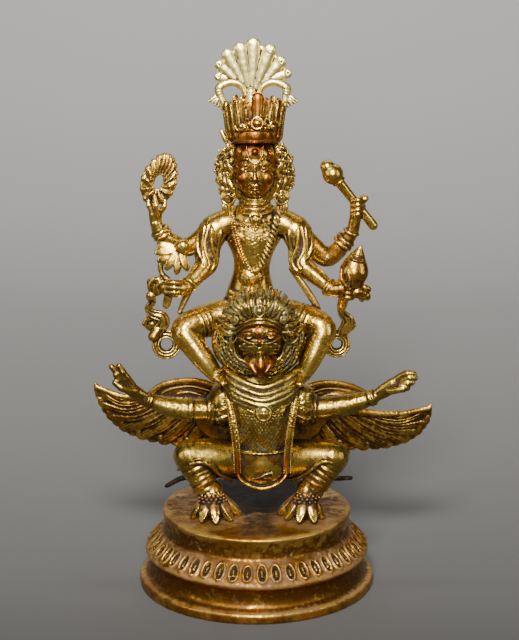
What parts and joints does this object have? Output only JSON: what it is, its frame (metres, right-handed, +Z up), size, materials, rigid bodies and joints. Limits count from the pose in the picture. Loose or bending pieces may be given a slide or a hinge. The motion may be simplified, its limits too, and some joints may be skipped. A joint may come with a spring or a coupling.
{
  "type": "vishnu on garuda statue",
  "caption": "Gilt cast shrine figure of a four-armed crowned god riding a squatting winged bird man, on a round petalled base.",
  "frame": {"origin": "middle of the footprint on the underside of the base", "axes": "+Z up through the base and figure, -Y towards the front, +X towards the viewer's right when facing the front"},
  "size_m": [0.1408, 0.0974, 0.2215],
  "materials": {
    "worn_gilt_brown": "worn gilding over brown copper, dusty on the ledges",
    "gilt_with_green": "aged gilding with grey-green corrosion in the hollows",
    "gilt_brown": "aged brown-gold gilding, dark in the grooves",
    "gilt_red": "gilding rubbed through to red copper in places",
    "gilt_bright": "bright pale gilding"
  },
  "bodies": {
    "root": {"lotus_base": "worn_gilt_brown", "garuda": "gilt_with_green", "garuda_wings": "gilt_brown", "vishnu": "gilt_red", "crown_plume": "gilt_bright"}
  },
  "joints": []
}
